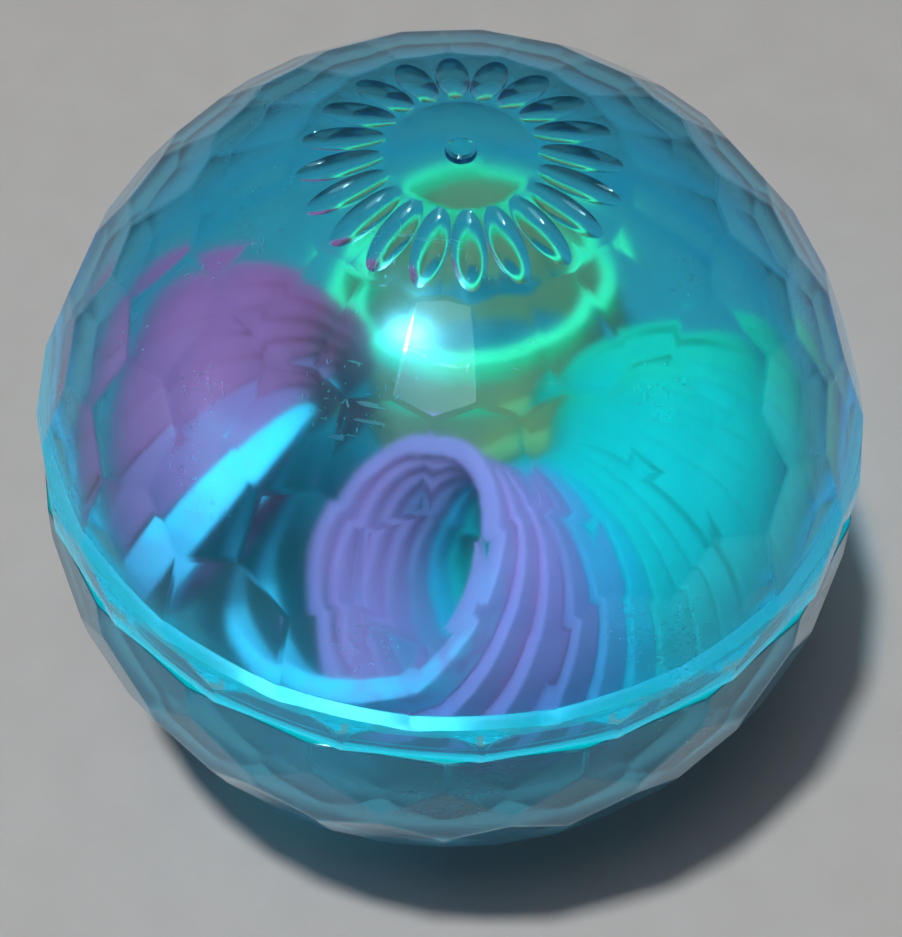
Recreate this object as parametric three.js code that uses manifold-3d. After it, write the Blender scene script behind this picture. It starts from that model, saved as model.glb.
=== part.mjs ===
// A clear faceted capsule ball in two halves, with a rainbow coil spring curled up inside it.
// Millimetres, +Z up. The origin is the middle of the flat disc that the ball stands on.
// Heights and radii below are counted from the ball's centre, longitudes from the front (-Y) to +X.

import * as THREE from 'three';
import { ConvexGeometry } from 'three/addons/geometries/ConvexGeometry.js';
import { ConvexHull } from 'three/addons/math/ConvexHull.js';
import * as BufferGeometryUtils from 'three/addons/utils/BufferGeometryUtils.js';
import Module from 'manifold-3d';

const wasm = await Module();
wasm.setup();

// Driving dimensions of the two shells

const FACETS_ROUND = 20;                    // facets in each row, and flutes round each pole
const FACET_RADIUS = 37.0;                  // from the centre to the flat of a facet
const WALL = 2.2;                           // from the flat of a facet to the smooth hollow
const UPPER_ROWS = [20, 33.5, 47, 61];      // latitudes of the facet rows above the upper band
const LOWER_ROWS = [10, 22.5, 35, 48, 61];  // the same below the lower band, counted downwards
const UPPER_TWIST = 4.2;                    // degrees that the upper half is turned on the lower one
const POLE_DISC_RADIUS = 6.2;               // the flat disc at each pole
const FLUTE_LATITUDE = 74.5;                // middle of the ring of flutes round a disc
const FLUTE_LENGTH = 7.4;
const FLUTE_WIDTH = 2.9;
const FLUTE_DEPTH = 0.55;
const SEAM_HEIGHT = 3.2;
const BAND_HEIGHT = 3.6;                    // the upright band above the seam
const LIP_HEIGHT = 3.2;                     // the lower half's lip above the seam
const LIP_THICKNESS = 0.9;
const LIP_CHAMFER = 0.3;
const LIP_CLEARANCE = 0.3;                  // between the lip and the skirt that slips over it
const NUB_RADIUS = 1.3;                     // the moulding nub on the upper disc
const NUB_HEIGHT = 0.7;

// Driving dimensions of the spring. It runs from the left, over a pulled-out half turn, to the
// front, round the right and over another half turn to a short column at the back.

const COIL_RADIUS = 13.2;                   // outside of the turns
const STRIP_WIDTH = 2.2;                    // the strip from the bore to the outside
const LEAST_THICKNESS = 0.5;                // the strip along the coil, where its turns are crowded
const MOST_THICKNESS = 4.0;                 // the same where they stand wide apart
const TURN_GAP = 0.45;                      // what the strip leaves free between two turns
const TURNS = [5.5, 0.5, 8, 8, 0.5, 7.5];   // left, pulled out, front, right, pulled out and back
const SPRING_CLEARANCE = 0.3;               // between the turns and the hollow
const SPRING_TURN = 7.7;                    // degrees that the spring is turned in the ball
const LEFT_START = -114;                    // longitudes of the level stretch on the left
const LEFT_END = -62;
const LEFT_FIRST_HEADING = -85;             // longitudes whose ring directions its end turns face
const LEFT_LAST_HEADING = -30;
const LEFT_DROP = 20;                       // degrees that its last turn faces downwards
const RIGHT_START = 46;                     // longitudes of the level stretch on the right
const RIGHT_END = 103;
const FRONT_TILT = 30;                      // degrees that the circle of the front stretch rises by
const FRONT_TURN = 71;                      // degrees of that circle
const FRONT_HEADING = 14;                   // longitude whose ring direction its first turn faces
const FRONT_CLIMB = 42;                     // degrees that this turn faces upwards
const BACK_LONGITUDE = 166;                 // where the column at the back stands
const BACK_DISTANCE = 17.8;                 // from the upright axis to its foot
const BACK_BOTTOM = -11;                    // heights of its foot and its top
const BACK_TOP = 4.5;
const BACK_HEADING = 172;                   // longitude whose ring direction it leans to
const BACK_CLIMB = 80;                      // degrees that it rises by
const FIRST_HUE = 0.90;                     // magenta on the left
const LAST_HUE = 0.08;                      // through blue, green and yellow to orange at the back
const STRIP_SATURATION = 0.8;
const STRIP_LIGHTNESS = 0.55;

// Fineness of the round surfaces

const ROUND_STEPS = 48;
const DOME_STEPS = 12;
const FLUTE_SIDES = 10;
const FLUTE_RINGS = 6;
const STEPS_PER_TURN = 8;
const STRIP_SIDES = 5;
const GAP_SAMPLES = 3;                      // points along a step where the spring's gap is measured
const GAP_TURNS = 0.5;                      // turns apart from which on it is measured
const CUT_MARGIN = 1;                       // how far a cutting or joining body runs past a face

const radians = THREE.MathUtils.degToRad;
const halfPitch = 180 / FACETS_ROUND;
const upwards = new THREE.Vector3(0, 0, 1);

// Sizes that follow from the driving ones

const firstRow = radians(UPPER_ROWS[0]);
const bandTop = SEAM_HEIGHT + BAND_HEIGHT;
const bandRadius = (FACET_RADIUS - bandTop * Math.sin(firstRow)) / Math.cos(firstRow);
const fluteSlope = radians(FLUTE_LATITUDE);
const poleHeight = (FACET_RADIUS - POLE_DISC_RADIUS * Math.cos(fluteSlope)) / Math.sin(fluteSlope);
const innerRadius = FACET_RADIUS - WALL;
const lipTop = SEAM_HEIGHT + LIP_HEIGHT;
const lipRadius = innerRadius + LIP_THICKNESS;
const recessTop = lipTop + LIP_CLEARANCE;
const recessRadius = lipRadius + LIP_CLEARANCE;
const ringRadius = innerRadius - SPRING_CLEARANCE - COIL_RADIUS;

// A closed solid from a geometry: shared corners are merged and empty triangles left out
function solidFrom(geometry) {
  const bare = geometry.clone();
  bare.deleteAttribute('normal');
  bare.deleteAttribute('uv');
  const merged = BufferGeometryUtils.mergeVertices(bare, 1e-4);
  const corners = merged.index.array;
  const kept = [];
  for (let i = 0; i < corners.length; i += 3) {
    const [a, b, c] = corners.slice(i, i + 3);
    if (a !== b && b !== c && c !== a) {
      kept.push(a, b, c);
    }
  }
  const vertProperties = new Float32Array(merged.attributes.position.array);
  const triVerts = new Uint32Array(kept);
  return new wasm.Manifold(new wasm.Mesh({ numProp: 3, vertProperties, triVerts }));
}

// The geometry of a finished solid
function geometryOf(solid) {
  const mesh = solid.getMesh();
  const geometry = new THREE.BufferGeometry();
  geometry.setAttribute('position', new THREE.BufferAttribute(mesh.vertProperties, 3));
  geometry.setIndex(new THREE.BufferAttribute(mesh.triVerts, 1));
  geometry.computeVertexNormals();
  return geometry;
}

// A solid turned about Z from an outline of [radius, height] that runs upwards and closes on itself
function turned(outline) {
  const points = [...outline, outline[0]].map(([radius, height]) => new THREE.Vector2(radius, height));
  const geometry = new THREE.LatheGeometry(points, ROUND_STEPS);
  return solidFrom(geometry.rotateX(Math.PI / 2));
}

// Outline points on the smooth hollow, from one latitude to another in radians
function hollowArc(fromLatitude, toLatitude) {
  const points = [];
  for (let i = 0; i <= DOME_STEPS; i += 1) {
    const latitude = THREE.MathUtils.lerp(fromLatitude, toLatitude, i / DOME_STEPS);
    points.push([innerRadius * Math.cos(latitude), innerRadius * Math.sin(latitude)]);
  }
  return points;
}

// A direction by longitude and latitude in degrees
function direction(longitude, latitude) {
  const level = Math.cos(radians(latitude));
  const x = level * Math.sin(radians(longitude));
  const y = -level * Math.cos(radians(longitude));
  return new THREE.Vector3(x, y, Math.sin(radians(latitude)));
}

// The longitudes of one row of facets; each row is staggered against the one below it
function rowLongitudes(index) {
  const first = index % 2 === 0 ? 0 : halfPitch;
  return Array.from({ length: FACETS_ROUND }, (_, i) => first + 2 * halfPitch * i);
}

// The outward planes of one row of facets
function rowPlanes(index, latitude, distance) {
  return rowLongitudes(index).map((longitude) => new THREE.Plane(direction(longitude, latitude), -distance));
}

// The solid that a set of outward planes encloses: each plane is a point of the dual form about an
// inside point, and each triangle of the dual's hull is a corner where three planes meet
function enclosedBy(planes, inside) {
  const dual = planes.map((plane) => plane.normal.clone().divideScalar(-plane.distanceToPoint(inside)));
  const hull = new ConvexHull().setFromPoints(dual);
  const corners = hull.faces.map((face) => {
    const height = face.normal.dot(face.edge.head().point);
    return face.normal.clone().divideScalar(height).add(inside);
  });
  return solidFrom(new ConvexGeometry(corners));
}

// The flutes round a pole: flattened balls, sunk by half their depth, cut the facets there
function fluteCutters(index) {
  const depthRadius = 2 * FLUTE_DEPTH;
  const spread = 1 / Math.sqrt(1 - (FLUTE_DEPTH / depthRadius) ** 2);
  const cutters = rowLongitudes(index).map((longitude) => {
    const outward = direction(longitude, FLUTE_LATITUDE);
    const uphill = direction(longitude, FLUTE_LATITUDE + 90);
    const sideways = new THREE.Vector3().crossVectors(uphill, outward);
    const place = new THREE.Matrix4().makeBasis(
      sideways.multiplyScalar((FLUTE_WIDTH / 2) * spread),
      uphill.multiplyScalar((FLUTE_LENGTH / 2) * spread),
      outward.clone().multiplyScalar(depthRadius),
    );
    place.setPosition(outward.multiplyScalar(FACET_RADIUS + depthRadius - FLUTE_DEPTH));
    const ball = new THREE.SphereGeometry(1, FLUTE_SIDES, FLUTE_RINGS);
    return solidFrom(ball.applyMatrix4(place));
  });
  return wasm.Manifold.union(cutters);
}

// The gem-cut outside of one half, standing on a flat seam, with its pole upwards
function facetedHalf(rows, seamHeight) {
  const planes = rowPlanes(0, 0, bandRadius);
  rows.forEach((latitude, i) => planes.push(...rowPlanes(i + 1, latitude, FACET_RADIUS)));
  const fluteRow = rows.length + 1;
  planes.push(...rowPlanes(fluteRow, FLUTE_LATITUDE, FACET_RADIUS));
  planes.push(new THREE.Plane(upwards.clone(), -poleHeight));
  planes.push(new THREE.Plane(upwards.clone().negate(), seamHeight));
  const inside = new THREE.Vector3(0, 0, (seamHeight + poleHeight) / 2);
  return enclosedBy(planes, inside).subtract(fluteCutters(fluteRow));
}

// The upper half: a dome over the hollow, with a recess inside its skirt and a nub on its disc
function upperShell() {
  const hollow = turned([
    [0, SEAM_HEIGHT - CUT_MARGIN],
    [recessRadius, SEAM_HEIGHT - CUT_MARGIN],
    [recessRadius, recessTop],
    ...hollowArc(Math.asin(recessTop / innerRadius), Math.PI / 2),
  ]);
  const nubTop = poleHeight + NUB_HEIGHT;
  const nub = turned([
    [0, poleHeight - NUB_HEIGHT],
    [NUB_RADIUS, poleHeight - NUB_HEIGHT],
    [NUB_RADIUS, (poleHeight + nubTop) / 2],
    [NUB_RADIUS / 2, nubTop],
    [0, nubTop],
  ]);
  return facetedHalf(UPPER_ROWS, SEAM_HEIGHT).subtract(hollow).add(nub);
}

// The lower half: a bowl with a raised lip inside its rim; the same form turned over
function lowerShell() {
  const lip = turned([
    [innerRadius - CUT_MARGIN, SEAM_HEIGHT - CUT_MARGIN],
    [lipRadius, SEAM_HEIGHT - CUT_MARGIN],
    [lipRadius, lipTop - LIP_CHAMFER],
    [lipRadius - LIP_CHAMFER, lipTop],
    [innerRadius - CUT_MARGIN, lipTop],
  ]);
  const hollow = turned([
    ...hollowArc(-Math.PI / 2, 0),
    [innerRadius, lipTop + CUT_MARGIN],
    [0, lipTop + CUT_MARGIN],
  ]);
  return facetedHalf(LOWER_ROWS, -SEAM_HEIGHT).rotate([180, 0, 0]).add(lip).subtract(hollow);
}

// Part of the ring's circle, tilted about its tangent at a longitude and kept on the same ball
class TiltedArc extends THREE.Curve {
  constructor(longitude, tilt, from, to) {
    super();
    const lean = radians(tilt);
    const outwards = direction(longitude, 0);
    const level = outwards.clone().multiplyScalar(Math.cos(lean));
    const radius = ringRadius * Math.cos(lean);
    this.arm = level.addScaledVector(upwards, -Math.sin(lean)).multiplyScalar(radius);
    this.ahead = direction(longitude + 90, 0).multiplyScalar(radius);
    this.middle = outwards.multiplyScalar(ringRadius).sub(this.arm);
    Object.assign(this, { from: radians(from), to: radians(to) });
  }

  getPoint(t) {
    const angle = THREE.MathUtils.lerp(this.from, this.to, t);
    const point = this.middle.clone().addScaledVector(this.arm, Math.cos(angle));
    return point.addScaledVector(this.ahead, Math.sin(angle));
  }
}

// The stretches of the coil: each one's middle line, its turns, and where its first and last turn face
function coilStretches() {
  const left = new TiltedArc(LEFT_END, 0, LEFT_START - LEFT_END, 0);
  const front = new TiltedArc(RIGHT_START, FRONT_TILT, -FRONT_TURN, 0);
  const right = new TiltedArc(RIGHT_START, 0, 0, RIGHT_END - RIGHT_START);
  const lean = direction(BACK_HEADING + 90, BACK_CLIMB);
  const foot = direction(BACK_LONGITUDE, 0).multiplyScalar(BACK_DISTANCE).setZ(BACK_BOTTOM);
  const top = foot.clone().addScaledVector(lean, (BACK_TOP - BACK_BOTTOM) / lean.z);
  const facing = [
    direction(LEFT_FIRST_HEADING + 90, 0),
    direction(LEFT_LAST_HEADING + 90, -LEFT_DROP),
    direction(FRONT_HEADING + 90, -FRONT_CLIMB),
    direction(RIGHT_START + 90, 0),
    direction(RIGHT_END + 90, 0),
    lean,
    lean,
  ];
  const straight = (from, to) => new THREE.LineCurve3(from, to);
  const lines = [
    left,
    straight(left.getPoint(1), front.getPoint(0)),
    front,
    right,
    straight(right.getPoint(1), foot),
    straight(foot, top),
  ];
  return lines.map((line, i) => ({ line, turns: TURNS[i], first: facing[i], last: facing[i + 1] }));
}

// A direction on the way from one to another, by the share of the angle between them
function swung(first, last, share) {
  const hinge = new THREE.Vector3().crossVectors(first, last).normalize();
  return first.clone().applyAxisAngle(hinge, first.angleTo(last) * share);
}

// The strip at each step: its middle, the way outwards from the bore and the way along the coil
function stripFrames() {
  const frames = [];
  const addFrame = ({ line, first, last }, share) => {
    const along = swung(first, last, share);
    const side = new THREE.Vector3().crossVectors(along, upwards).normalize();
    const up = new THREE.Vector3().crossVectors(side, along);
    const angle = (2 * Math.PI * frames.length) / STEPS_PER_TURN;
    const outward = side.multiplyScalar(Math.cos(angle)).addScaledVector(up, Math.sin(angle));
    const middle = line.getPoint(share).addScaledVector(outward, COIL_RADIUS - STRIP_WIDTH / 2);
    frames.push({ middle, outward, along });
  };
  const stretches = coilStretches();
  stretches.forEach((stretch) => {
    const steps = stretch.turns * STEPS_PER_TURN;
    for (let i = 0; i < steps; i += 1) {
      addFrame(stretch, i / steps);
    }
  });
  addFrame(stretches[stretches.length - 1], 1);
  return frames;
}

// The strip's thickness at a step: it fills the room to the nearer of its two neighbours
function thicknessAt(frames, i) {
  const { middle, along } = frames[i];
  const neighbours = [frames[i - STEPS_PER_TURN], frames[i + STEPS_PER_TURN]].filter(Boolean);
  const rooms = neighbours.map((other) => Math.abs(other.middle.clone().sub(middle).dot(along)));
  return THREE.MathUtils.clamp(Math.min(...rooms) - TURN_GAP, LEAST_THICKNESS, MOST_THICKNESS);
}

// The wound strip as rings of section points from end to end, with a flat side outwards
function stripRings() {
  const frames = stripFrames();
  return frames.map(({ middle, outward, along }, i) => {
    const thickness = thicknessAt(frames, i);
    return Array.from({ length: STRIP_SIDES }, (_, j) => {
      const corner = (2 * Math.PI * (j + 0.5)) / STRIP_SIDES;
      const point = middle.clone().addScaledVector(outward, (STRIP_WIDTH / 2) * Math.cos(corner));
      return point.addScaledVector(along, (thickness / 2) * Math.sin(corner));
    });
  });
}

// The least gap between two turns, measured between points on the strip's surface
function leastGap(rings) {
  const samples = [];
  for (let i = 0; i + 1 < rings.length; i += 1) {
    for (let k = 0; k < GAP_SAMPLES; k += 1) {
      samples.push(rings[i].map((point, j) => point.clone().lerp(rings[i + 1][j], k / GAP_SAMPLES)));
    }
  }
  const apart = GAP_TURNS * STEPS_PER_TURN * GAP_SAMPLES;
  let least = Infinity;
  samples.forEach((section, i) => {
    samples.slice(i + apart).forEach((other) => {
      section.forEach((point) => other.forEach((end) => {
        least = Math.min(least, point.distanceTo(end));
      }));
    });
  });
  return least;
}

// The spring as one unbroken closed strip, with its rainbow as colours of its points
function springGeometry() {
  const rings = stripRings();
  const points = rings.flat();
  const faces = [];
  const last = rings.length - 1;
  for (let i = 0; i < last; i += 1) {
    for (let j = 0; j < STRIP_SIDES; j += 1) {
      const next = (j + 1) % STRIP_SIDES;
      const a = i * STRIP_SIDES + j;
      const b = i * STRIP_SIDES + next;
      faces.push(a, b, a + STRIP_SIDES, b, b + STRIP_SIDES, a + STRIP_SIDES);
    }
  }
  for (let j = 1; j + 1 < STRIP_SIDES; j += 1) {
    const end = last * STRIP_SIDES;
    faces.push(0, j + 1, j, end, end + j, end + j + 1);
  }
  const colours = rings.flatMap((section, i) => {
    const hue = THREE.MathUtils.lerp(FIRST_HUE, LAST_HUE, i / last);
    const colour = new THREE.Color().setHSL((hue + 1) % 1, STRIP_SATURATION, STRIP_LIGHTNESS);
    return section.flatMap(() => colour.toArray());
  });
  const geometry = new THREE.BufferGeometry().setFromPoints(points);
  geometry.setAttribute('color', new THREE.Float32BufferAttribute(colours, 3));
  geometry.setIndex(faces);
  geometry.computeVertexNormals();
  console.log(`spring: ${last / STEPS_PER_TURN} turns, least gap ${leastGap(rings).toFixed(2)} mm`);
  return geometry;
}

const shellFinish = { color: 0x3aa6c4, roughness: 0.12, metalness: 0, transparent: true, opacity: 0.35 };
const springFinish = { color: 0xffffff, vertexColors: true, roughness: 0.4, metalness: 0 };

// One named piece of the ball, turned about its upright axis
function piece(name, geometry, finish, turn) {
  const mesh = new THREE.Mesh(geometry, new THREE.MeshStandardMaterial(finish));
  mesh.name = name;
  mesh.rotation.z = radians(turn);
  return mesh;
}

const ball = new THREE.Group();
ball.position.z = poleHeight;
ball.add(piece('lower_shell', geometryOf(lowerShell()), shellFinish, 0));
ball.add(piece('upper_shell', geometryOf(upperShell()), shellFinish, UPPER_TWIST));
ball.add(piece('rainbow_spring', springGeometry(), springFinish, SPRING_TURN));

const part = new THREE.Group();
part.add(ball);

export default part;
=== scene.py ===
# %% [markdown]
# # A gem-cut capsule ball with a rainbow spring inside
# The real object is a hard, clear, blue-tinted plastic ball in two halves. Its outside is cut into
# flat facets like a gem, its inside is smooth, and a loose plastic coil spring lies curled up in it.
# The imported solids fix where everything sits. This lesson makes finer pieces in the same places and
# gives them their finishes.

# %% Load the frame
import math

import bmesh
import bpy
from mathutils import Matrix, Quaternion, Vector


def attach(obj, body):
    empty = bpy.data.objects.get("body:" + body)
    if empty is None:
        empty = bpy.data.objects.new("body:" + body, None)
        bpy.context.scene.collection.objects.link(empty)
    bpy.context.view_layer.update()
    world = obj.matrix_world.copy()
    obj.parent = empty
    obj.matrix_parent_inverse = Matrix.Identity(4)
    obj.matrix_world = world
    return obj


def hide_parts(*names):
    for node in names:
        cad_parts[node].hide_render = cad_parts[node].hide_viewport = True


MILLIMETRE = 0.001

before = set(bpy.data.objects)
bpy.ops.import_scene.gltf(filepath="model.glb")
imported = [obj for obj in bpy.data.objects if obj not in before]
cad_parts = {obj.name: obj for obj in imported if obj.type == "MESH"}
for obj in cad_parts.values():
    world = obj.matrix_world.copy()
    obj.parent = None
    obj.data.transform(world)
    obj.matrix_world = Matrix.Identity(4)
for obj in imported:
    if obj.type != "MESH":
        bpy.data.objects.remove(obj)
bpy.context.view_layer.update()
scene = bpy.context.scene

# %% [markdown]
# ## Measures
# The measures are in millimetres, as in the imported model, with heights and radii counted from the
# ball's centre, and every finished mesh is scaled to metres. All facets but those of the upright band
# are equally far from the centre, so a few latitudes place every row. The band's radius and the height
# of the disc that the ball stands on follow from the rows next to them.

# %% Measures of the shells
FACETS_ROUND = 20
FACET_RADIUS = 37.0
WALL = 2.2
UPPER_ROWS = [20, 33.5, 47, 61]
LOWER_ROWS = [10, 22.5, 35, 48, 61]
UPPER_TWIST = 4.2
POLE_DISC_RADIUS = 6.2
FLUTE_LATITUDE = 74.5
SEAM_HEIGHT = 3.2
BAND_HEIGHT = 3.6

first_row = math.radians(UPPER_ROWS[0])
band_top = SEAM_HEIGHT + BAND_HEIGHT
band_radius = (FACET_RADIUS - band_top * math.sin(first_row)) / math.cos(first_row)
flute_slope = math.radians(FLUTE_LATITUDE)
pole_height = (FACET_RADIUS - POLE_DISC_RADIUS * math.cos(flute_slope)) / math.sin(flute_slope)
inner_radius = FACET_RADIUS - WALL
print("band", round(band_radius, 2), "pole", round(pole_height, 3), "hollow", inner_radius)

# %% [markdown]
# ## The camera
# The photograph looks down on the ball from close by. Its outline is nearly a circle, so the distance
# follows from how the facet rows crowd together towards the rim: about six and a half times the
# ball's radius. The lens then follows from how large the ball is in the picture. The camera looks a
# little below the ball's middle, and is rolled slightly, because the pole leans to the right.

# %% Camera
PICTURE_WIDTH, PICTURE_HEIGHT = 902, 937
BALL_PIXEL = (450, 438)
BALL_PIXEL_RADIUS = 412
BALL_RADIUS = 0.0375
BALL_CENTRE = Vector((0, 0, pole_height * MILLIMETRE))
CAMERA_AZIMUTH, CAMERA_ELEVATION, CAMERA_ROLL = 7.7, 50.8, 2.2
CAMERA_DISTANCE = 6.5 * BALL_RADIUS
NEAREST_SEEN, FARTHEST_SEEN = 0.01, 20
SENSOR = 36.0


def from_angles(azimuth, elevation):
    """A direction by its angle round from the front, towards the right, and its angle upwards."""
    level = math.cos(math.radians(elevation))
    turn = math.radians(azimuth)
    return Vector((level * math.sin(turn), -level * math.cos(turn), math.sin(math.radians(elevation))))


focal_pixels = BALL_PIXEL_RADIUS * math.sqrt((CAMERA_DISTANCE / BALL_RADIUS) ** 2 - 1)
camera_data = bpy.data.cameras.new("camera")
camera_data.sensor_width = SENSOR
camera_data.lens = SENSOR * focal_pixels / max(PICTURE_WIDTH, PICTURE_HEIGHT)
camera_data.clip_start, camera_data.clip_end = NEAREST_SEEN, FARTHEST_SEEN
camera = bpy.data.objects.new("camera", camera_data)
scene.collection.objects.link(camera)
scene.camera = camera
back = from_angles(CAMERA_AZIMUTH, CAMERA_ELEVATION)
aim = back.to_track_quat("Z", "Y").to_matrix()
down = math.atan((PICTURE_HEIGHT / 2 - BALL_PIXEL[1]) / focal_pixels)
sideways = math.atan((PICTURE_WIDTH / 2 - BALL_PIXEL[0]) / focal_pixels)
aim = aim @ Matrix.Rotation(math.radians(CAMERA_ROLL), 3, "Z")
aim = aim @ Matrix.Rotation(-down, 3, "X") @ Matrix.Rotation(-sideways, 3, "Y")
camera.matrix_world = Matrix.Translation(BALL_CENTRE + back * CAMERA_DISTANCE) @ aim.to_4x4()
print("lens", round(camera_data.lens, 1), "mm at", round(CAMERA_DISTANCE / MILLIMETRE), "mm")

# %% [markdown]
# ## Writing shaders as sums
# A finish is a small network of nodes. Adding every node by hand hides the idea, so a socket is
# wrapped in a class that understands plus, minus and times: an expression then adds its own Math
# nodes. Everything else comes from one method that takes a node's type, its settings and its inputs,
# and from four short ones for the nodes that are used most.


# %% Shader helpers
class Wire:
    """One output of a node. Sums and products of wires and numbers add Math nodes."""

    def __init__(self, finish, socket):
        self.finish, self.socket = finish, socket

    def math(self, operation, first, second):
        return self.finish.node("Math", {"operation": operation}, {0: first, 1: second})

    def __add__(self, other):
        return self.math("ADD", self, other)

    __radd__ = __add__

    def __sub__(self, other):
        return self.math("SUBTRACT", self, other)

    def __rsub__(self, other):
        return self.math("SUBTRACT", other, self)

    def __mul__(self, other):
        return self.math("MULTIPLY", self, other)

    __rmul__ = __mul__


class Finish:
    """A node tree of a material or a world that is being put together."""

    def __init__(self, block):
        block.use_nodes = True
        self.block, self.tree = block, block.node_tree
        self.tree.nodes.clear()

    def node(self, kind, settings=None, inputs=None, output=0):
        made = self.tree.nodes.new("ShaderNode" + kind)
        for name, value in (settings or {}).items():
            if name == "stops":
                self.set_stops(made.color_ramp, value)
            else:
                setattr(made, name, value)
        for name, value in (inputs or {}).items():
            if isinstance(value, Wire):
                self.tree.links.new(value.socket, made.inputs[name])
            else:
                made.inputs[name].default_value = value
        return Wire(self, made.outputs[output]) if len(made.outputs) else None

    @staticmethod
    def set_stops(ramp, stops):
        while len(ramp.elements) < len(stops):
            ramp.elements.new(1.0)
        for element, (place, colour) in zip(ramp.elements, stops):
            element.position, element.color = place, (*colour, 1)

    def noise(self, place, settings):
        return self.node("TexNoise", None, {"Vector": place, **settings})

    def stretched(self, value, low, high, at_low=0.0, at_high=1.0):
        """A value spread out so that low and high become the two ends, and held at them."""
        return self.node("MapRange", None, {0: value, 1: low, 2: high, 3: at_low, 4: at_high})

    def blend(self, share, first, second):
        """A colour on the way from one to another."""
        return self.node("Mix", {"data_type": "RGBA"}, {0: share, 6: first, 7: second}, output=2)

    def mix(self, share, first, second):
        """A shader on the way from one to another."""
        return self.node("MixShader", None, {0: share, 1: first, 2: second})


def new_material(name):
    return Finish(bpy.data.materials.new(name))


# %% [markdown]
# ## The floor and the light
# The ball stands on a plain pale floor. In the photograph one lamp hangs above and in front of it, a
# little to the left: its image shows in a single facet under the pole. Two round lamps stand in for
# it. The small key lamp lights the ball and gives the shadow a firm edge, but its own image would be
# a hard dot, so it is kept out of reflections. The wide, weak glint lamp gives the one bright facet. A
# weak light from all round, stronger near the horizon than overhead, fills the rest.

# %% Floor
FLOOR_SIZE = 3.0
FLOOR_COLOUR = (0.51, 0.50, 0.495, 1)
FLOOR_DARK = (0.45, 0.44, 0.43, 1)
FLOOR_MOTTLE = {"Scale": 140, "Detail": 6}
FLOOR_GLOSS = {"Roughness": 0.75, "Specular IOR Level": 0.2}

floor_finish = new_material("pale_floor")
floor_place = floor_finish.node("TexCoord", output="Object")
floor_mottle = floor_finish.noise(floor_place, FLOOR_MOTTLE)
floor_colour = floor_finish.blend(floor_mottle, FLOOR_DARK, FLOOR_COLOUR)
floor_shader = floor_finish.node("BsdfPrincipled", None, {"Base Color": floor_colour, **FLOOR_GLOSS})
floor_finish.node("OutputMaterial", None, {"Surface": floor_shader})

floor_bm = bmesh.new()
bmesh.ops.create_grid(floor_bm, x_segments=1, y_segments=1, size=FLOOR_SIZE / 2)
floor_mesh = bpy.data.meshes.new("floor")
floor_bm.to_mesh(floor_mesh)
floor_bm.free()
floor_mesh.materials.append(floor_finish.block)
floor = bpy.data.objects.new("floor", floor_mesh)
scene.collection.objects.link(floor)
print("floor", FLOOR_SIZE, "m wide")

# %% Lamps and surrounding light
KEY = {"place": (0.17, 0.25, 0.95), "size": 0.11, "power": 16.5}
GLINT = {"place": (0.075, 0.31, 0.947), "size": 0.48, "power": 2.2}
LAMP_DISTANCE = 1.5
HORIZON_STRENGTH, OVERHEAD_STRENGTH = 0.14, 0.05
OVERHEAD_FROM = 0.6
CLEAR_BOUNCES, DIFFUSE_BOUNCES = 18, 8

frontwards = from_angles(CAMERA_AZIMUTH, 0)
leftwards = from_angles(CAMERA_AZIMUTH - 90, 0)


def disk_lamp(name, place, size, power):
    """A round lamp that faces the ball, placed by its shares of left, front and up."""
    left, front, up = place
    towards_lamp = (leftwards * left + frontwards * front + Vector((0, 0, up))).normalized()
    data = bpy.data.lights.new(name, "AREA")
    data.shape, data.size, data.energy = "DISK", size, power
    lamp = bpy.data.objects.new(name, data)
    scene.collection.objects.link(lamp)
    lamp.location = BALL_CENTRE + towards_lamp * LAMP_DISTANCE
    lamp.rotation_euler = towards_lamp.to_track_quat("Z", "Y").to_euler()
    print(name, "at", [round(v, 3) for v in lamp.location])
    return lamp


key = disk_lamp("key", **KEY)
key.visible_glossy = False
disk_lamp("glint", **GLINT)

around = Finish(bpy.data.worlds.new("around"))
scene.world = around.block
sight = around.node("TexCoord", output="Generated")
upward_share = around.node("SeparateXYZ", None, {"Vector": sight}, output="Z")
strength = around.stretched(upward_share, 0.0, OVERHEAD_FROM, HORIZON_STRENGTH, OVERHEAD_STRENGTH)
sky = around.node("Background", None, {"Color": (1, 1, 1, 1), "Strength": strength})
around.node("OutputWorld", None, {"Surface": sky})
scene.view_settings.view_transform = "Standard"
scene.cycles.max_bounces = CLEAR_BOUNCES
scene.cycles.transmission_bounces = CLEAR_BOUNCES
scene.cycles.diffuse_bounces = DIFFUSE_BOUNCES

# %% [markdown]
# ## The gem-cut outside
# Each half is a block with flat facets, like a cut stone, so it can be made the way a stone is cut: a
# twenty-sided block is sliced by one plane after another, and every slice leaves a flat face. Moving
# vertices about by hand would leave the facets bent, and a bent facet shows at once on a clear, shiny
# body.

# %% Slicing a half from a block
SAME_POINT = 1e-4
SHORTEST_EDGE = 0.25
HAIRLINE = 0.06


def turn_about_axis(bm, angle):
    """Turns a whole mesh about the ball's upright axis, by an angle in radians."""
    bmesh.ops.rotate(bm, cent=(0, 0, 0), matrix=Matrix.Rotation(angle, 3, "Z"), verts=bm.verts)


def row_longitudes(index):
    """The middles of the facets of one row; every second row is staggered by half a facet."""
    pitch = 360 / FACETS_ROUND
    first = 0 if index % 2 == 0 else pitch / 2
    return [first + pitch * i for i in range(FACETS_ROUND)]


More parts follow.
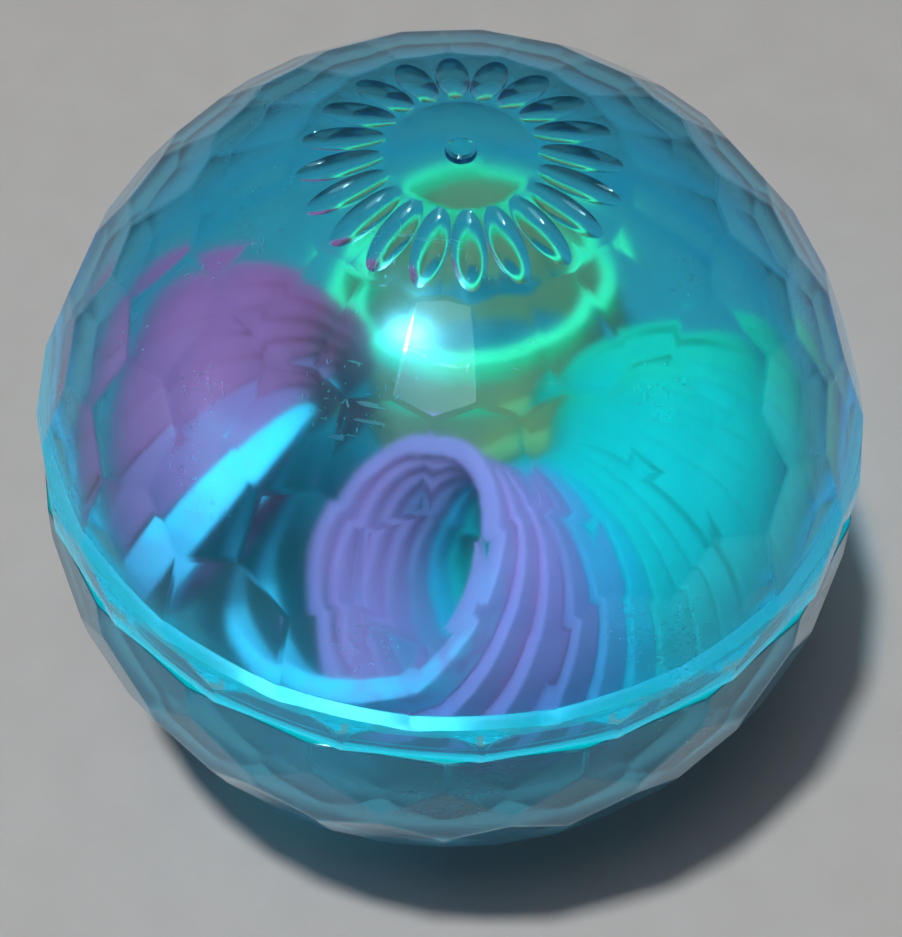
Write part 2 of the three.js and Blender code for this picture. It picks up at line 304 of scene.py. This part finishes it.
def slice_off(bm, outward, distance):
    """Cuts away what lies beyond a plane and closes the cut with one flat face."""
    cut = bmesh.ops.bisect_plane(
        bm, geom=bm.verts[:] + bm.edges[:] + bm.faces[:], dist=SAME_POINT,
        plane_co=outward * distance, plane_no=outward, clear_outer=True)
    rim = [part for part in cut["geom_cut"] if isinstance(part, bmesh.types.BMEdge)]
    bmesh.ops.edgeloop_fill(bm, edges=rim)


def gem_cut_half(rows, seam_height):
    """The solid outside of one half, pole upwards, standing on its flat seam."""
    bm = bmesh.new()
    half_facet = math.pi / FACETS_ROUND
    corner_radius = band_radius / math.cos(half_facet)
    bmesh.ops.create_cone(
        bm, cap_ends=True, segments=FACETS_ROUND, radius1=corner_radius, radius2=corner_radius,
        depth=pole_height - seam_height)
    turn_about_axis(bm, half_facet)
    bmesh.ops.translate(bm, vec=(0, 0, (pole_height + seam_height) / 2), verts=bm.verts)
    for index, latitude in enumerate([*rows, FLUTE_LATITUDE], 1):
        for longitude in row_longitudes(index):
            slice_off(bm, from_angles(longitude, latitude), FACET_RADIUS)
    bmesh.ops.remove_doubles(bm, verts=bm.verts, dist=SHORTEST_EDGE)
    bmesh.ops.recalc_face_normals(bm, faces=bm.faces)
    return bm


halves = {
    "upper": gem_cut_half(UPPER_ROWS, SEAM_HEIGHT + HAIRLINE),
    "lower": gem_cut_half(LOWER_ROWS, -SEAM_HEIGHT),
}
for name, bm in halves.items():
    shortest = min(edge.calc_length() for edge in bm.edges)
    print(name, len(bm.faces), "facets, shortest edge", round(shortest, 2), "mm")

# %% [markdown]
# ## Softened edges
# A moulded facet never meets its neighbour in a perfect edge. The thin rounded line between two
# facets is what catches the light, so every edge gets a narrow bevel of two steps. The facets
# themselves stay flat-shaded, and only the rounded lines are smooth.

# %% Bevel
EDGE_ROUND = 0.28
EDGE_SEGMENTS = 2

for name, bm in halves.items():
    rounded = bmesh.ops.bevel(
        bm, geom=bm.edges[:], offset=EDGE_ROUND, offset_type="OFFSET", segments=EDGE_SEGMENTS,
        profile=0.5, affect="EDGES", clamp_overlap=True, material=-1)
    for face in rounded["faces"]:
        face.smooth = True
    print(name, len(bm.faces), "faces with rounded edges")

# %% [markdown]
# ## Flutes, hollow, lip and nub
# A ring of shallow petal-shaped flutes surrounds each pole disc. They are hollows with a rounded
# floor, so flattened balls are cut out of the facets with a Boolean modifier. The smooth hollow, the
# lip of the lower half and the recess that slips over it are turned bodies: an outline is spun round
# the axis once, which is how a lathe would make them.

# %% Boolean helper and flutes
FLUTE_LENGTH, FLUTE_WIDTH, FLUTE_DEPTH = 7.4, 2.9, 0.55
FLUTE_SIDES, FLUTE_RINGS = 28, 20


def object_from(bm, name):
    """A millimetre mesh about the ball's centre as an object in metres, in the CAD's frame."""
    bmesh.ops.scale(bm, vec=(MILLIMETRE,) * 3, verts=bm.verts)
    bmesh.ops.translate(bm, vec=BALL_CENTRE, verts=bm.verts)
    mesh = bpy.data.meshes.new(name)
    bm.to_mesh(mesh)
    bm.free()
    made = bpy.data.objects.new(name, mesh)
    scene.collection.objects.link(made)
    return made


def combine(body, tool, operation):
    """Cuts a tool out of a body, or joins it on, and keeps the result as the body's mesh."""
    modifier = body.modifiers.new("combine", "BOOLEAN")
    modifier.object, modifier.operation, modifier.solver = tool, operation, "MANIFOLD"
    graph = bpy.context.evaluated_depsgraph_get()
    mesh = bpy.data.meshes.new_from_object(body.evaluated_get(graph))
    body.modifiers.clear()
    body.data = mesh
    bpy.data.objects.remove(tool)


def flute_tool(longitude):
    """A flattened ball, sunk by half its depth into a facet of the row below the pole disc."""
    depth_radius = 2 * FLUTE_DEPTH
    spread = 1 / math.sqrt(1 - (FLUTE_DEPTH / depth_radius) ** 2)
    outward = from_angles(longitude, FLUTE_LATITUDE)
    uphill = from_angles(longitude, FLUTE_LATITUDE + 90)
    axes = Matrix((uphill.cross(outward), uphill, outward)).transposed()
    sizes = Matrix.Diagonal((FLUTE_WIDTH / 2 * spread, FLUTE_LENGTH / 2 * spread, depth_radius))
    place = (axes @ sizes).to_4x4()
    place.translation = outward * (FACET_RADIUS + depth_radius - FLUTE_DEPTH)
    bm = bmesh.new()
    bmesh.ops.create_uvsphere(bm, u_segments=FLUTE_SIDES, v_segments=FLUTE_RINGS, radius=1, matrix=place)
    for face in bm.faces:
        face.smooth = True
    return bm


print("flutes", FLUTE_LENGTH, "by", FLUTE_WIDTH, "mm,", FLUTE_DEPTH, "mm deep")

# %% Turned bodies
ROUND_STEPS, DOME_STEPS = 144, 40
LIP_HEIGHT, LIP_THICKNESS, LIP_CHAMFER, LIP_CLEARANCE = 3.2, 0.9, 0.3, 0.3
NUB_RADIUS, NUB_HEIGHT = 1.3, 0.7
NUB_PROFILE = [(1, 0.35), (0.94, 0.7), (0.72, 0.95), (0, 1)]  # shares of the nub's radius and height
CUT_MARGIN = 1.0

lip_top = SEAM_HEIGHT + LIP_HEIGHT
lip_radius = inner_radius + LIP_THICKNESS
recess_top = lip_top + LIP_CLEARANCE
recess_radius = lip_radius + LIP_CLEARANCE
quarter_turn = math.pi / 2


def turned(outline, closed=False):
    """Spins an outline of (radius, height) points once round the axis."""
    bm = bmesh.new()
    points = [bm.verts.new((radius, 0, height)) for radius, height in outline]
    pairs = list(zip(points, points[1:])) + ([(points[-1], points[0])] if closed else [])
    edges = [bm.edges.new(pair) for pair in pairs]
    bmesh.ops.spin(
        bm, geom=points + edges, cent=(0, 0, 0), axis=(0, 0, 1), angle=math.tau, steps=ROUND_STEPS,
        use_merge=True)
    bmesh.ops.remove_doubles(bm, verts=bm.verts, dist=SAME_POINT)
    bmesh.ops.recalc_face_normals(bm, faces=bm.faces)
    for face in bm.faces:
        face.smooth = True
    return bm


def hollow_arc(start, stop):
    """Outline points on the smooth hollow, from one latitude in radians to just before another."""
    angles = [start + (stop - start) * i / DOME_STEPS for i in range(DOME_STEPS)]
    return [(inner_radius * math.cos(angle), inner_radius * math.sin(angle)) for angle in angles]


upper_hollow = turned([
    (0, SEAM_HEIGHT - CUT_MARGIN), (recess_radius, SEAM_HEIGHT - CUT_MARGIN), (recess_radius, recess_top),
    *hollow_arc(math.asin(recess_top / inner_radius), quarter_turn), (0, inner_radius)])
lower_hollow = turned([
    (0, lip_top + CUT_MARGIN), (inner_radius, lip_top + CUT_MARGIN), (inner_radius, 0),
    *hollow_arc(-quarter_turn / DOME_STEPS, -quarter_turn), (0, -inner_radius)])
lip = turned([
    (inner_radius - CUT_MARGIN, SEAM_HEIGHT - CUT_MARGIN), (lip_radius, SEAM_HEIGHT - CUT_MARGIN),
    (lip_radius, lip_top - LIP_CHAMFER), (lip_radius - LIP_CHAMFER, lip_top),
    (inner_radius - CUT_MARGIN, lip_top)], closed=True)
nub = turned([
    (0, pole_height - NUB_HEIGHT), (NUB_RADIUS, pole_height - NUB_HEIGHT),
    *((NUB_RADIUS * out, pole_height + NUB_HEIGHT * up) for out, up in NUB_PROFILE)])
print("lip", round(lip_radius, 2), "in recess", round(recess_radius, 2))

# %% Put the halves together
SHARP_ANGLE = math.radians(28)
WELD_DISTANCE = 2e-6

upside_down = Matrix.Rotation(math.pi, 4, "X")
halves["lower"].transform(upside_down)
shells = {}
for name, rows in (("upper", UPPER_ROWS), ("lower", LOWER_ROWS)):
    shells[name] = object_from(halves[name], name + "_clear_shell")
    for longitude in row_longitudes(len(rows) + 1):
        tool = flute_tool(longitude)
        if name == "lower":
            tool.transform(upside_down)
        combine(shells[name], object_from(tool, "flute"), "DIFFERENCE")
combine(shells["upper"], object_from(upper_hollow, "hollow"), "DIFFERENCE")
combine(shells["upper"], object_from(nub, "nub"), "UNION")
combine(shells["lower"], object_from(lip, "lip"), "UNION")
combine(shells["lower"], object_from(lower_hollow, "hollow"), "DIFFERENCE")

for name, shell in shells.items():
    bm = bmesh.new()
    bm.from_mesh(shell.data)
    bmesh.ops.remove_doubles(bm, verts=bm.verts, dist=WELD_DISTANCE)
    if name == "upper":
        turn_about_axis(bm, math.radians(UPPER_TWIST))
    for edge in bm.edges:
        if len(edge.link_faces) == 2 and edge.calc_face_angle() > SHARP_ANGLE:
            edge.smooth = False
    open_edges = sum(not edge.is_manifold for edge in bm.edges)
    bm.to_mesh(shell.data)
    print(shell.name, len(bm.faces), "faces,", open_edges, "open edges")
    bm.free()

# %% [markdown]
# ## The spring
# The spring is one soft plastic strip, wound into thirty turns that lie in three stacks: one on the
# left, one that rises in front and runs round the right, and a short column at the back that ends
# open. From each stack to the next the strip is pulled out over half a turn. On the outside of a bend
# the turns stand apart and the strip is thick; on the inside they are crowded and it is thin. A curve
# with a bevel would keep one thickness and let the strip twist. A straight bar, cut into many short
# lengths and wound up by setting every cut in place with one matrix, keeps its wide side outwards and
# takes its own thickness at every cut. Each cut also notes how far along the strip it is, because the
# rainbow runs along that length.

# %% Middle line of the coil
COIL_RADIUS, SPRING_CLEARANCE, SPRING_TURN = 13.2, 0.3, 7.7
TURNS = [5.5, 0.5, 8, 8, 0.5, 7.5]  # left, pulled out, front, right, pulled out and back
LEFT_START, LEFT_END = -114, -62
LEFT_FIRST_HEADING, LEFT_LAST_HEADING, LEFT_DROP = -85, -30, 20
RIGHT_START, RIGHT_END = 46, 103
FRONT_TILT, FRONT_TURN, FRONT_HEADING, FRONT_CLIMB = 30, 71, 14, 42
BACK_LONGITUDE, BACK_DISTANCE, BACK_BOTTOM, BACK_TOP = 166, 17.8, -11, 4.5
BACK_HEADING, BACK_CLIMB = 172, 80

ring_radius = inner_radius - SPRING_CLEARANCE - COIL_RADIUS


def tilted_arc(longitude, tilt, start, stop):
    """A stretch of the ring's circle, tilted about its tangent at a longitude, as a function of 0 to 1."""
    lean = math.radians(tilt)
    radius = ring_radius * math.cos(lean)
    outwards, ahead = from_angles(longitude, 0), from_angles(longitude + 90, 0)
    arm = (outwards * math.cos(lean) - Vector((0, 0, math.sin(lean)))) * radius
    middle = outwards * ring_radius - arm

    def point(share):
        angle = math.radians(start + (stop - start) * share)
        return middle + arm * math.cos(angle) + ahead * (radius * math.sin(angle))

    return point


def straight(start, stop):
    """A straight line, as a function of 0 to 1."""
    return lambda share: start.lerp(stop, share)


left_line = tilted_arc(LEFT_END, 0, LEFT_START - LEFT_END, 0)
front_line = tilted_arc(RIGHT_START, FRONT_TILT, -FRONT_TURN, 0)
right_line = tilted_arc(RIGHT_START, 0, 0, RIGHT_END - RIGHT_START)
column_way = from_angles(BACK_HEADING + 90, BACK_CLIMB)
foot = from_angles(BACK_LONGITUDE, 0) * BACK_DISTANCE + Vector((0, 0, BACK_BOTTOM))
top = foot + column_way * ((BACK_TOP - BACK_BOTTOM) / column_way.z)
lines = [
    left_line, straight(left_line(1), front_line(0)), front_line, right_line,
    straight(right_line(1), foot), straight(foot, top)]
facing = [
    from_angles(LEFT_FIRST_HEADING + 90, 0), from_angles(LEFT_LAST_HEADING + 90, -LEFT_DROP),
    from_angles(FRONT_HEADING + 90, -FRONT_CLIMB), from_angles(RIGHT_START + 90, 0),
    from_angles(RIGHT_END + 90, 0), column_way, column_way]
print("ring radius", round(ring_radius, 1), "mm,", sum(TURNS), "turns")

# %% Places along the strip
STRIP_WIDTH = 2.2
STEPS_PER_TURN = 32


def place_of_cut(line, first, last, share, step):
    """Where the strip sits at one cut: X outwards, Y along the coil, Z along the strip."""
    along = first.copy()
    along.rotate(Quaternion().slerp(first.rotation_difference(last), share))
    side = along.cross(Vector((0, 0, 1))).normalized()
    up = side.cross(along)
    angle = math.tau * step / STEPS_PER_TURN
    outward = side * math.cos(angle) + up * math.sin(angle)
    place = Matrix((outward, along, outward.cross(along))).transposed().to_4x4()
    place.translation = line(share) + outward * (COIL_RADIUS - STRIP_WIDTH / 2)
    return place


places = []
for line, turns, first, last in zip(lines, TURNS, facing, facing[1:]):
    cuts = round(turns * STEPS_PER_TURN)
    for cut in range(cuts):
        places.append(place_of_cut(line, first, last, cut / cuts, len(places)))
places.append(place_of_cut(lines[-1], facing[-2], facing[-1], 1, len(places)))
steps = len(places) - 1
print(steps, "steps along the strip")

# %% Thickness along the strip
TURN_GAP = 0.11
LEAST_THICKNESS, MOST_THICKNESS = 0.6, 4.2


def thickness_at(step):
    """The strip fills the room to the nearer of the two neighbouring turns, measured along the coil."""
    middle, along = places[step].translation, places[step].col[1].to_3d()
    neighbours = [step + way for way in (-STEPS_PER_TURN, STEPS_PER_TURN) if 0 <= step + way <= steps]
    room = min(abs((places[other].translation - middle).dot(along)) for other in neighbours)
    return min(max(room - TURN_GAP, LEAST_THICKNESS), MOST_THICKNESS)


thickness = [thickness_at(step) for step in range(steps + 1)]
print("strip", round(min(thickness), 2), "to", round(max(thickness), 2), "mm thick")

# %% Winding the strip
STRIP_ROUND = 0.14
ROUND_SEGMENTS = 3
STRIP_SHARP_ANGLE = math.radians(50)

bm = bmesh.new()
along_strip = bm.verts.layers.float.new("along")
bmesh.ops.create_grid(bm, x_segments=1, y_segments=1, size=0.5)
bmesh.ops.scale(bm, vec=(STRIP_WIDTH, 1, 1), verts=bm.verts)
bmesh.ops.bevel(
    bm, geom=bm.verts[:], offset=STRIP_ROUND, offset_type="OFFSET", segments=ROUND_SEGMENTS, profile=0.5,
    affect="VERTICES", material=-1)
grown = bmesh.ops.extrude_face_region(bm, geom=bm.faces[:])["geom"]
far_end = [part for part in grown if isinstance(part, bmesh.types.BMVert)]
bmesh.ops.translate(bm, vec=(0, 0, 1), verts=far_end)
lengthwise = [edge for edge in bm.edges if edge.verts[0].co.z != edge.verts[1].co.z]
bmesh.ops.subdivide_edges(bm, edges=lengthwise, cuts=steps - 1, use_grid_fill=True)
for corner in bm.verts:
    step = round(corner.co.z * steps)
    corner[along_strip] = step / steps
    corner.co = places[step] @ Vector((corner.co.x, corner.co.y * thickness[step], 0))
bmesh.ops.recalc_face_normals(bm, faces=bm.faces)
turn_about_axis(bm, math.radians(SPRING_TURN))
for face in bm.faces:
    face.smooth = len(face.verts) == 4
for edge in bm.edges:
    edge.smooth = edge.calc_face_angle(0) < STRIP_SHARP_ANGLE
print("spring:", len(bm.faces), "faces,", sum(not edge.is_manifold for edge in bm.edges), "open edges")
spring = object_from(bm, "rainbow_coil")

# %% [markdown]
# ## The clear shell's finish
# The plastic is clear and tinted blue, so it lets through little red. A Principled shader with nearly
# full transmission bends light as the real wall does, and an absorbing volume makes thick places
# deeper in colour. Handling has left patches of fine scuffs, paler and rougher than the rest. The
# lip's top and the two faces of the seam are matte and catch the light as two bright lines, and the
# inside of the lower half has a faint bloom. Those places are found by their height and distance, and
# take a share of a frosted shader. Lamps can't shine through clear plastic without much noise, so rays
# towards the lamps meet a tinted Transparent shader instead.

# %% Scuffs on the shell
SCUFFED_PATCHES = {"Scale": 95, "Detail": 2, "Roughness": 0.4}
PATCH_LIMITS = (0.56, 0.70)
HAIR_LINES = {"Scale": 1000, "Detail": 1}
HAIR_LIMITS = (0.66, 0.72)
HAIR_LAYS = [  # each a turn and how the noise is drawn out
    ((0.3, 0.5, 0.4), (0.12, 2.2, 2.2)),
    ((1.1, 0.2, 2.0), (2.4, 0.14, 2.4))]


def hair_lines(finish, place, turn, scale):
    """Thin straight lines in one direction: the crests of a noise that is drawn out along them."""
    laid = finish.node("Mapping", None, {"Vector": place, "Rotation": turn, "Scale": scale})
    return finish.stretched(finish.noise(laid, HAIR_LINES), *HAIR_LIMITS)


def scuff_mask(finish, place):
    """Where the shell is scuffed: hair lines in two directions, and only in patches."""
    patches = finish.stretched(finish.noise(place, SCUFFED_PATCHES), *PATCH_LIMITS)
    lines = sum(hair_lines(finish, place, *lay) for lay in HAIR_LAYS)
    return finish.node("Math", {"operation": "MULTIPLY", "use_clamp": True}, {0: lines, 1: patches})


print("scuffs:", len(HAIR_LAYS), "directions of hair lines")

# %% Matte places on the shell
FROST_TINT = (0.0, 0.95, 0.97, 1)
FROST_THROUGH = 0.4
LIP_FROST, LIP_FROST_DROP, LIP_FROST_REACH = 0.5, 0.05, 0.45
SEAM_FROST, SEAM_FROST_REACH = 0.6, 0.1

lip_level = BALL_CENTRE.z + (lip_top - LIP_FROST_DROP) * MILLIMETRE
lip_outside = (recess_radius + LIP_CLEARANCE) * MILLIMETRE
seam_level = BALL_CENTRE.z + (SEAM_HEIGHT + HAIRLINE / 2) * MILLIMETRE


def within(finish, value, middle, reach):
    """1 where a value is no further than a reach in millimetres from a middle, and 0 elsewhere."""
    return finish.node("Math", {"operation": "COMPARE"}, {0: value, 1: middle, 2: reach * MILLIMETRE})


def nearer(finish, place, point, limit):
    """1 where a place is nearer to a point than a limit, and 0 elsewhere."""
    apart = finish.node("VectorMath", {"operation": "DISTANCE"}, {0: place, 1: point}, output="Value")
    return finish.node("Math", {"operation": "LESS_THAN"}, {0: apart, 1: limit})


def frost_mask(finish, place, inside, bloom):
    """How frosted a place is: the lip's top and the seam by their own shares, the inside by its bloom."""
    height = finish.node("SeparateXYZ", None, {"Vector": place}, output="Z")
    on_axis = finish.node("CombineXYZ", None, {"Z": height})
    at_lip = within(finish, height, lip_level, LIP_FROST_REACH)
    at_seam = within(finish, height, seam_level, SEAM_FROST_REACH)
    near_axis = nearer(finish, place, on_axis, lip_outside)
    return at_lip * near_axis * LIP_FROST + at_seam * SEAM_FROST + inside * (1 - at_lip) * bloom


def frost(finish):
    """A matte shader that scatters light back and through."""
    scattered_back = finish.node("BsdfDiffuse", None, {"Color": FROST_TINT})
    scattered_on = finish.node("BsdfTranslucent", None, {"Color": FROST_TINT})
    return finish.mix(FROST_THROUGH, scattered_back, scattered_on)


print("matte at", round(lip_level / MILLIMETRE, 2), "and", round(seam_level / MILLIMETRE, 2), "mm up")

# %% Clear shell
SHELL_TINT = (0.45, 0.92, 0.99, 1)
SHELL_TINT_DEEP = (0.39, 0.88, 0.98, 1)
SHELL_CLOUD = {"Scale": 45, "Detail": 3}
SHELL_RIPPLE = {"Scale": 260, "Detail": 2}
SHELL_RELIEF = {"Strength": 0.05, "Distance": 0.0004}
SHELL_OPTICS = {"IOR": 1.46, "Specular Tint": (0.45, 0.9, 1.0, 1), "Transmission Weight": 0.99}
SHELL_ABSORPTION = {"Color": (0.05, 0.81, 0.98, 1), "Density": 200}
POLISH, CLOUD_ROUGHNESS, INSIDE_HAZE = 0.02, 0.02, 0.17
INSIDE_REACH = 0.6
SCUFF_TINT = (0.72, 0.90, 0.97, 1)
SCUFF_PALENESS, SCUFF_RELIEF, SCUFF_ROUGHNESS = 0.6, 0.2, 0.3
LAMP_TINT = {"upper": (1.0, 0.97, 0.98, 1), "lower": (0.07, 0.10, 0.13, 1)}
BLOOM = {"upper": 0.0, "lower": 0.24}

inside_radius = (inner_radius + INSIDE_REACH) * MILLIMETRE


def clear_plastic(name, lamp_tint, bloom):
    """Tinted clear plastic, scuffed outside, hazy on the smooth wall inside, and matte at the seam."""
    finish = new_material(name)
    place = finish.node("TexCoord", output="Object")
    cloud = finish.noise(place, SHELL_CLOUD)
    scuffs = scuff_mask(finish, place)
    inside = nearer(finish, place, BALL_CENTRE, inside_radius)
    tint = finish.blend(cloud, SHELL_TINT_DEEP, SHELL_TINT)
    tint = finish.blend(scuffs * SCUFF_PALENESS, tint, SCUFF_TINT)
    roughness = POLISH + cloud * CLOUD_ROUGHNESS + scuffs * SCUFF_ROUGHNESS + inside * INSIDE_HAZE
    bumps = finish.noise(place, SHELL_RIPPLE) + scuffs * SCUFF_RELIEF
    relief = finish.node("Bump", None, {**SHELL_RELIEF, "Height": bumps})
    clear = finish.node("BsdfPrincipled", None, {
        "Base Color": tint, "Roughness": roughness, "Normal": relief, **SHELL_OPTICS})
    plastic = finish.mix(frost_mask(finish, place, inside, bloom), clear, frost(finish))
    towards_lamps = finish.node("LightPath", output="Is Shadow Ray")
    to_lamps = finish.node("BsdfTransparent", None, {"Color": lamp_tint})
    surface = finish.mix(towards_lamps, plastic, to_lamps)
    wall = finish.node("VolumeAbsorption", None, SHELL_ABSORPTION)
    finish.node("OutputMaterial", None, {"Surface": surface, "Volume": wall})
    return finish.block


for name, shell in shells.items():
    shell.data.materials.clear()
    shell.data.materials.append(clear_plastic("clear_blue_plastic_" + name, LAMP_TINT[name], BLOOM[name]))
    print("finish of", shell.name, len(shell.data.materials[0].node_tree.nodes), "nodes")

# %% [markdown]
# ## The rainbow strip's finish
# The strip is dyed plastic that lets some light through, and its colour runs through the whole rainbow
# from one end to the other. A colour ramp along the stored length gives that, and a part of the light
# passes through to the other side by a Translucent shader. At the back column the ramp also holds painted
# shade and painted light on a strip of one colour: the column's orange is painted shade for its shaded
# bore, and the bright green of its last turn is painted light on its lit top rim. A short sky-blue stretch
# between the pinks, where the strip is pulled out of the left stack, makes the gap between the two stacks
# brighter.

# %% Rainbow strip
# The back column's orange, from 0.80 to 0.94 of the length, is painted shade for its shaded bore, and the
# bright green of its last turn is painted light on its lit top rim.
RAINBOW_WITH_PAINTED_LIGHT = [  # shares of the strip's length and the colour there
    (0.00, (1.00, 0.10, 0.24)), (0.13, (1.00, 0.12, 0.27)), (0.160, (0.78, 0.25, 0.50)),
    (0.175, (0.28, 0.85, 1.00)), (0.196, (0.28, 0.85, 1.00)), (0.204, (1.00, 0.27, 0.54)),
    (0.27, (1.00, 0.25, 0.52)), (0.315, (0.62, 0.24, 0.46)), (0.355, (0.05, 0.46, 0.62)),
    (0.390, (0.00, 0.56, 0.50)), (0.60, (0.00, 0.56, 0.43)), (0.715, (0.02, 0.58, 0.32)),
    (0.75, (0.80, 0.60, 0.20)), (0.80, (1.00, 0.54, 0.26)), (0.940, (1.00, 0.54, 0.26)),
    (0.952, (0.20, 1.00, 0.45)), (1.00, (0.20, 1.00, 0.45))]
STREAKS = {"Scale": 350, "Detail": 3}
STREAK_MIDDLE, STREAK_SHIFT = 0.5, 0.012
STRIP_RELIEF = {"Strength": 0.1, "Distance": 0.0003}
STRIP_ROUGHNESS, STREAK_ROUGHNESS, STRIP_SPECULAR = 0.3, 0.1, 0.2
TRANSLUCENT_SHARE = 0.22


def rainbow_plastic():
    """Dyed plastic, coloured by the length along the strip, with painted shade and painted light at the
    back column, that some light shines through.
    """
    finish = new_material("rainbow_plastic")
    place = finish.node("TexCoord", output="Object")
    length_share = finish.node("Attribute", {"attribute_name": "along"}, output="Fac")
    streaks = finish.noise(place, STREAKS)
    shifted = length_share + (streaks - STREAK_MIDDLE) * STREAK_SHIFT
    # The ramp's colour holds painted shade and painted light at the back column: orange for the shaded
    # bore, bright green for the lit top rim.
    dye_and_painted_light = finish.node("ValToRGB", {"stops": RAINBOW_WITH_PAINTED_LIGHT}, {"Fac": shifted})
    relief = finish.node("Bump", None, {**STRIP_RELIEF, "Height": streaks})
    dyed = finish.node("BsdfPrincipled", None, {
        "Base Color": dye_and_painted_light, "Roughness": STRIP_ROUGHNESS + streaks * STREAK_ROUGHNESS,
        "Specular IOR Level": STRIP_SPECULAR, "Normal": relief})
    lit_through = finish.node("BsdfTranslucent", None, {"Color": dye_and_painted_light})
    surface = finish.mix(TRANSLUCENT_SHARE, dyed, lit_through)
    finish.node("OutputMaterial", None, {"Surface": surface})
    return finish.block


spring.data.materials.clear()
spring.data.materials.append(rainbow_plastic())
print("strip finish:", len(spring.data.materials[0].node_tree.nodes), "nodes")

# %% [markdown]
# ## Fastening to the frame
# Each piece rides on the body that moves it and stands for one solid of the imported model.

# %% Ride and replace
for piece, body, node, slot in (
    (shells["lower"], "lower_half", "lower_shell", "clear_shell"),
    (shells["upper"], "upper_half", "upper_shell", "clear_shell"),
    (spring, "spring", "rainbow_spring", "rainbow_strip"),
):
    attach(piece, body)
    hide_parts(node)
